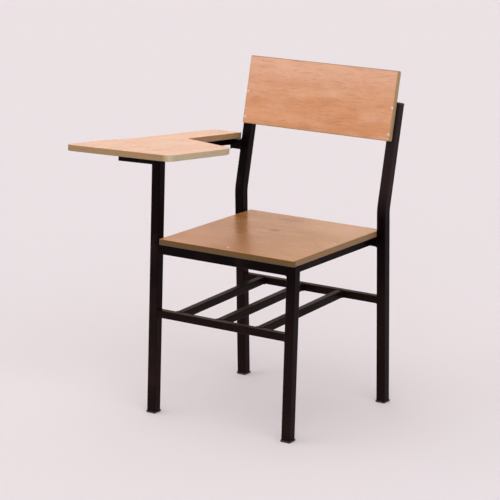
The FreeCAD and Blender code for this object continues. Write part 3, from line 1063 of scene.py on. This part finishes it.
@dataclass
class ScrewHeads:
    """Domed screw heads with a cross recess, in place of the plain ones.

    The arm is half the length of the cross and the slit its width. A point of a plain screw belongs to
    its head down to the slack below the head's underside. Each screw is turned on from the last one.
    """

    label: str
    axis: Vector
    zinc: bpy.types.Material
    radius: float = 0.0045
    rise: float = 0.0024
    arm: float = 0.0023
    slit: float = 0.0009
    depth: float = 0.0015
    slack: float = 1e-5
    first_turn: float = math.radians(20)
    next_turn: float = math.radians(37)
    sharp: float = math.radians(40)

    def build(self, nodes: dict[str, bpy.types.Object]) -> bpy.types.Object:
        """Make one head for each plain screw of the group.

        Args:
            nodes: The frame's nodes by name.

        Returns:
            The heads as one piece.
        """
        pattern = self._head()
        mesh = bmesh.new()
        aim = UP.rotation_difference(self.axis).to_matrix().to_4x4()
        for number, seat in enumerate(self._seats(nodes[self.label])):
            spin = Matrix.Rotation(self.first_turn + self.next_turn * number, 4, "Z")
            add_copy(mesh, pattern, Matrix.Translation(seat) @ aim @ spin)
        bpy.data.meshes.remove(pattern)
        made = piece(self.label + "_crosshead", mesh, [self.zinc])
        made.data.set_sharp_from_angle(angle=self.sharp)
        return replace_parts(made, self.label)

    def _seats(self, node: bpy.types.Object) -> list[Vector]:
        """Where each head of a group sits.

        Args:
            node: The group's node in the frame.

        Returns:
            The middle of each head's underside.
        """
        mesh = bmesh.new()
        mesh.from_mesh(node.data)
        bmesh.ops.remove_doubles(mesh, verts=mesh.verts, dist=MERGE)
        seats = []
        for screw in islands(mesh.verts, lambda vert: [edge.other_vert(vert) for edge in vert.link_edges]):
            places = [vert.co for vert in mesh.verts if vert in screw]
            base = max(place.dot(self.axis) for place in places) - self.rise
            crown = [place for place in places if place.dot(self.axis) > base - self.slack]
            flat = [place - self.axis * place.dot(self.axis) for place in crown]
            seats.append(sum(flat, Vector()) / len(flat) + self.axis * base)
        mesh.free()
        return sorted(seats, key=lambda seat: [round(value, 4) for value in seat])

    def _head(self) -> bpy.types.Mesh:
        """One head about the origin, facing up.

        Returns:
            The mesh of the head with its recess cut.
        """
        dome = bmesh.new()
        ball = (self.radius ** 2 + self.rise ** 2) / (2 * self.rise)
        place = Matrix.Translation((0, 0, self.rise - ball))
        bmesh.ops.create_uvsphere(dome, u_segments=32, v_segments=32, radius=ball, matrix=place)
        cut = bmesh.ops.bisect_plane(
            dome, geom=dome.verts[:] + dome.edges[:] + dome.faces[:], plane_co=(0, 0, 0), plane_no=UP,
            clear_inner=True,
        )
        rim = [item for item in cut["geom_cut"] if isinstance(item, bmesh.types.BMEdge)]
        bmesh.ops.holes_fill(dome, edges=rim, sides=0)
        for face in dome.faces:
            face.smooth = True
        cross = bmesh.new()
        for length, width in ((self.arm * 2, self.slit), (self.slit, self.arm * 2)):
            shape = Matrix.Diagonal((length, width, self.depth * 2, 1.0))
            bmesh.ops.create_cube(cross, size=1.0, matrix=Matrix.Translation((0, 0, self.rise)) @ shape)
        return self._cut(dome, cross)

    @staticmethod
    def _cut(solid: bmesh.types.BMesh, tool: bmesh.types.BMesh) -> bpy.types.Mesh:
        """Take one shape out of another.

        Args:
            solid: The shape that is cut; it is freed.
            tool: The shape taken out of it; it is freed.

        Returns:
            The mesh that is left.
        """
        holders = []
        for name, shape in (("screw_dome", solid), ("screw_cross", tool)):
            data = bpy.data.meshes.new(name)
            shape.to_mesh(data)
            shape.free()
            holder = bpy.data.objects.new(name, data)
            bpy.context.scene.collection.objects.link(holder)
            holders.append(holder)
        change = holders[0].modifiers.new("cross_recess", "BOOLEAN")
        change.operation = "DIFFERENCE"
        change.object = holders[1]
        change.solver = "EXACT"
        change.use_self = True
        graph = bpy.context.evaluated_depsgraph_get()
        result = bpy.data.meshes.new_from_object(holders[0].evaluated_get(graph))
        for holder in holders:
            data = holder.data
            bpy.data.objects.remove(holder)
            bpy.data.meshes.remove(data)
        return result


@dataclass
class Chair:
    """The whole chair: which node gets which finish, and the pieces added to it."""

    STEEL = ("_post", "_leg", "_upright", "_rail", "_bar", "_stub", "_bar_right", "_bar_middle", "_bar_left")

    nodes: dict[str, bpy.types.Object]
    finishes: Finishes
    back_lean: float = math.radians(13.5)
    tablet_tilt: float = math.radians(5.26)
    tablet_fall: float = math.radians(1.65)

    def build(self) -> None:
        """Dress every node and add the pieces that the frame leaves to the looks."""
        looks = self.finishes
        for name, node in self.nodes.items():
            if name.endswith(self.STEEL):
                dress(node, looks.paint)
            elif "_cap" in name or name.endswith("_plug"):
                dress(node, looks.plastic)
        back = Vector((0.0, -math.cos(self.back_lean), math.sin(self.back_lean)))
        tilt = Matrix.Rotation(-self.tablet_tilt, 3, "X")
        desk = tilt @ Matrix.Rotation(-self.tablet_fall, 3, "Y") @ UP
        Board("seat", UP, looks.seat_laminate, looks.seat_edge).build(self.nodes)
        Board("back", back, looks.back_laminate, looks.back_edge, banded=True).build(self.nodes)
        Board("tablet", desk, looks.tablet_laminate, looks.tablet_edge).build(self.nodes)
        for label, axis in (("seat_screws", UP), ("back_screws", back), ("tablet_screws", -desk)):
            ScrewHeads(label, axis, looks.zinc).build(self.nodes)
        WeldBeads(looks.paint).build()


@dataclass(frozen=True)
class Wall:
    """A bright patch of the sky that the glossy faces mirror.

    The reach is how closely a ray has to point towards the patch, and the height where it fades upwards.
    """

    tint: Rgba
    toward: Triple
    reach: Span
    height: Span
    strength: float

    def build(self, graph: Graph, ray: Socket, rise: Socket, sky: Socket) -> Socket:
        """Add the patch to the sky.

        Args:
            graph: The sky's graph.
            ray: The direction of the ray.
            rise: The upward part of that direction.
            sky: The sky so far.

        Returns:
            The sky with the patch.
        """
        aim = graph.vector("DOT_PRODUCT", ray, self.toward).outputs["Value"]
        bright = graph.spread(aim, self.reach, (0.0, self.strength))
        fading = graph.spread(rise, self.height, (1.0, 0.0))
        glow = graph.add("ShaderNodeBackground")
        glow.inputs["Color"].default_value = self.tint
        graph.put(graph.reckon("MULTIPLY", bright, fading), glow.inputs["Strength"])
        total = graph.add("ShaderNodeAddShader")
        graph.put(sky, total.inputs[0])
        graph.put(glow.outputs["Background"], total.inputs[1])
        return total.outputs["Shader"]


@dataclass(frozen=True)
class Lamp:
    """A soft light from far away, tilted from straight down and turned about the vertical, in degrees."""

    name: str
    energy: float
    tilt: float
    turn: float
    angle: float = 80.0

    def build(self) -> None:
        """Add the light to the scene."""
        data = bpy.data.lights.new(self.name, "SUN")
        data.energy = self.energy
        data.angle = math.radians(self.angle)
        lamp = bpy.data.objects.new(self.name, data)
        lamp.rotation_euler = (math.radians(self.tilt), 0.0, math.radians(self.turn))
        bpy.context.scene.collection.objects.link(lamp)


@dataclass
class Studio:
    """Floor, light and camera."""

    eye: Triple = (3.0678, -4.3893, 1.7456)
    pitch: float = 13.986
    yaw: float = 34.604
    lens: float = 159.48
    sensor: float = 36.0
    view_range: float = 200.0
    floor_half: float = 60.0
    paper: Rgba = linear(230, 223, 227)
    lift: float = 0.21
    air: Rgba = (1.0, 0.985, 0.98, 1.0)
    sky: Span = (0.12, 0.3)
    sky_rise: Span = (0.0, 0.9)
    walls: tuple[Wall, ...] = (
        Wall((1.0, 0.74, 0.6, 1.0), (-0.55, 0.8, 0.24), (0.1, 0.7), (0.2, 0.6), 1.15),
        Wall((1.0, 0.985, 0.98, 1.0), (-0.56, -0.82, 0.15), (0.5, 0.95), (0.3, 0.7), 0.85),
    )
    lamps: tuple[Lamp, ...] = (Lamp("key", 1.9, 73.0, 51.0), Lamp("fill", 0.9, 25.0, -60.0))

    def build(self) -> None:
        """Set up the stage."""
        self._floor()
        self._sky()
        for lamp in self.lamps:
            lamp.build()
        self._camera()
        bpy.context.scene.view_settings.view_transform = "Standard"

    def _floor(self) -> None:
        """A wide pale floor that fills the view, a little brighter where it is seen than where it lights."""
        mesh = bmesh.new()
        bmesh.ops.create_grid(mesh, x_segments=1, y_segments=1, size=self.floor_half)
        data = bpy.data.meshes.new("floor")
        mesh.to_mesh(data)
        mesh.free()
        floor = bpy.data.objects.new("floor", data)
        bpy.context.scene.collection.objects.link(floor)
        material = Material("floor_paper")
        path = material.graph.add("ShaderNodeLightPath").outputs
        seen = path["Is Camera Ray"]
        for kind in ("Is Glossy Ray", "Is Transmission Ray"):
            seen = material.graph.reckon("MAXIMUM", seen, path[kind])
        material.feed("Emission Strength", material.graph.spread(seen, WHOLE, (0.0, self.lift)))
        material.fix(Base_Color=self.paper, Emission_Color=self.paper, Roughness=0.9, Specular_IOR_Level=0.1)
        data.materials.append(material.data)

    def _sky(self) -> None:
        """A dim sky, brighter overhead, with a warm patch behind the chair and a pale one before it."""
        world = bpy.data.worlds.new("studio")
        bpy.context.scene.world = world
        world.use_nodes = True
        graph = Graph(world.node_tree)
        dim = world.node_tree.nodes["Background"]
        dim.inputs["Color"].default_value = self.air
        ray = graph.add("ShaderNodeTexCoord").outputs["Generated"]
        parts = graph.add("ShaderNodeSeparateXYZ")
        graph.put(ray, parts.inputs["Vector"])
        rise = parts.outputs["Z"]
        graph.put(graph.spread(rise, self.sky_rise, self.sky), dim.inputs["Strength"])
        light = dim.outputs["Background"]
        for wall in self.walls:
            light = wall.build(graph, ray, rise, light)
        graph.put(light, world.node_tree.nodes["World Output"].inputs["Surface"])

    def _camera(self) -> None:
        """The photograph's point of view."""
        data = bpy.data.cameras.new("view")
        data.sensor_width = self.sensor
        data.lens = self.lens
        data.clip_end = self.view_range
        camera = bpy.data.objects.new("view", data)
        camera.location = self.eye
        camera.rotation_euler = (math.radians(90.0 - self.pitch), 0.0, math.radians(self.yaw))
        bpy.context.scene.collection.objects.link(camera)
        bpy.context.scene.camera = camera


def main() -> None:
    """Build the scene."""
    logging.basicConfig(level=logging.INFO, format="%(name)s: %(message)s")
    for thing in list(bpy.data.objects):
        bpy.data.objects.remove(thing)
    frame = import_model()
    Chair(frame["nodes"], Finishes(SharedEffects())).build()
    Studio().build()


if __name__ == "__main__":
    main()
